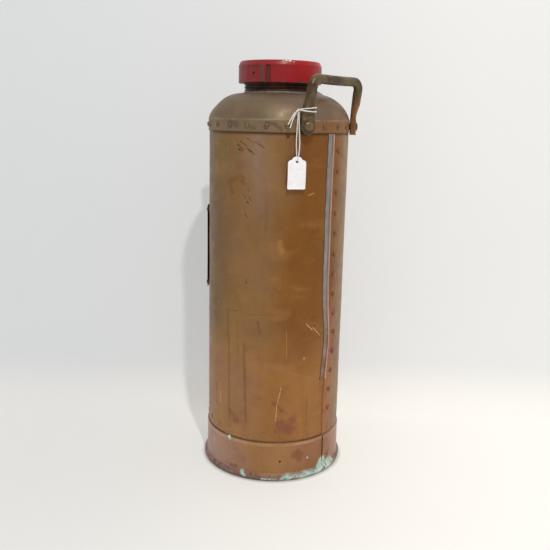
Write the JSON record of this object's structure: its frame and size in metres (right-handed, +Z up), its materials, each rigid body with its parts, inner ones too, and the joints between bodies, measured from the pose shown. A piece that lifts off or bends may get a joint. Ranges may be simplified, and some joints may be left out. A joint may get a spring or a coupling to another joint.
{
  "type": "turnover fire extinguisher",
  "caption": "Hand-portable riveted copper soda-acid fire extinguisher: round tank, screw cap, lifting handle, and inner acid-bottle cage that is tipped to start it.",
  "frame": {"origin": "centre of the tank's bottom rim at floor level, on the tank's axis", "axes": "+Z up along the tank's axis; +Y towards the lifting handle; -Y towards the jet and the instruction plate"},
  "size_m": [0.1886, 0.1983, 0.5292],
  "materials": {
    "copper_sheet": "dull browned copper, aged, semi-matt",
    "copper_dome": "dull browned copper, greyer, semi-matt",
    "copper_rivet": "dull browned copper",
    "cast_brass": "cast brass, dulled",
    "solder": "dull grey solder",
    "forged_handle": "forged bronze, dark patina",
    "handle_rivet": "dull bronze",
    "iron_wire": "dark iron",
    "brass_plate": "dulled brass plate, blank",
    "tinned_cage": "tinned strip, dull",
    "bottle_glass": "clear green-tinted glass",
    "lead": "dull lead",
    "washer_leather": "greased leather",
    "cap_paint": "worn red paint, semi-gloss",
    "tag_card": "matt white card",
    "tag_string": "white cotton string"
  },
  "bodies": {
    "tank": {"body_shell": "copper_sheet", "foot_ring": "copper_sheet", "foot_bead_wire": "iron_wire", "bottom_head": "copper_sheet", "dome_band": "copper_dome", "dome_shoulder": "copper_dome", "dome_top": "copper_dome", "neck_ring": "cast_brass", "neck_solder": "solder", "seam_solder": "solder", "seam_rivets": "copper_rivet", "band_rivets": "copper_rivet", "bottom_rivets": "copper_rivet", "handle": "forged_handle", "handle_rivets": "handle_rivet", "handle_washers": "iron_wire", "instruction_plate": "brass_plate", "plate_spacers": "brass_plate", "plate_rivets": "copper_rivet", "jet_boss": "cast_brass", "jet": "cast_brass", "strainer": "cast_brass", "tag_knot": "tag_string", "tag_wrap": "tag_string", "tag_tails": "tag_string"},
    "cage": {"cage_ring": "tinned_cage", "cage_straps": "tinned_cage", "cage_hoop": "tinned_cage", "cage_base": "tinned_cage", "acid_bottle": "bottle_glass"},
    "stopper": {"stopper": "lead"},
    "washer": {"cap_washer": "washer_leather"},
    "cap": {"cap": "cap_paint"},
    "tag": {"tag_card": "tag_card", "tag_string": "tag_string"}
  },
  "joints": [
    {"name": "cage_lift", "type": "slide", "parent": "tank", "child": "cage", "axis": [0, 0, 1], "range_m": [0, 0.15]},
    {"name": "stopper_lift", "type": "slide", "parent": "cage", "child": "stopper", "axis": [0, 0, 1], "range_m": [0, 0.012]},
    {"name": "cap_rise", "type": "slide", "parent": "cage", "child": "washer", "axis": [0, 0, 1], "range_m": [0, 0.01601]},
    {"name": "cap_turn", "type": "hinge", "parent": "washer", "child": "cap", "pos_m": [0, 0, 0.516], "axis": [0, 0, 1], "range_deg": [0, 1440]},
    {"name": "tag_swing", "type": "hinge", "parent": "tank", "child": "tag", "pos_m": [0.06023, 0.07411, 0.4703], "axis": [0.776, -0.6307, 0], "range_deg": [0, 100]}
  ],
  "couplings": [
    {"joint": "cap_rise", "follows": "cap_turn", "m_per_rad": 0.00063662}
  ]
}
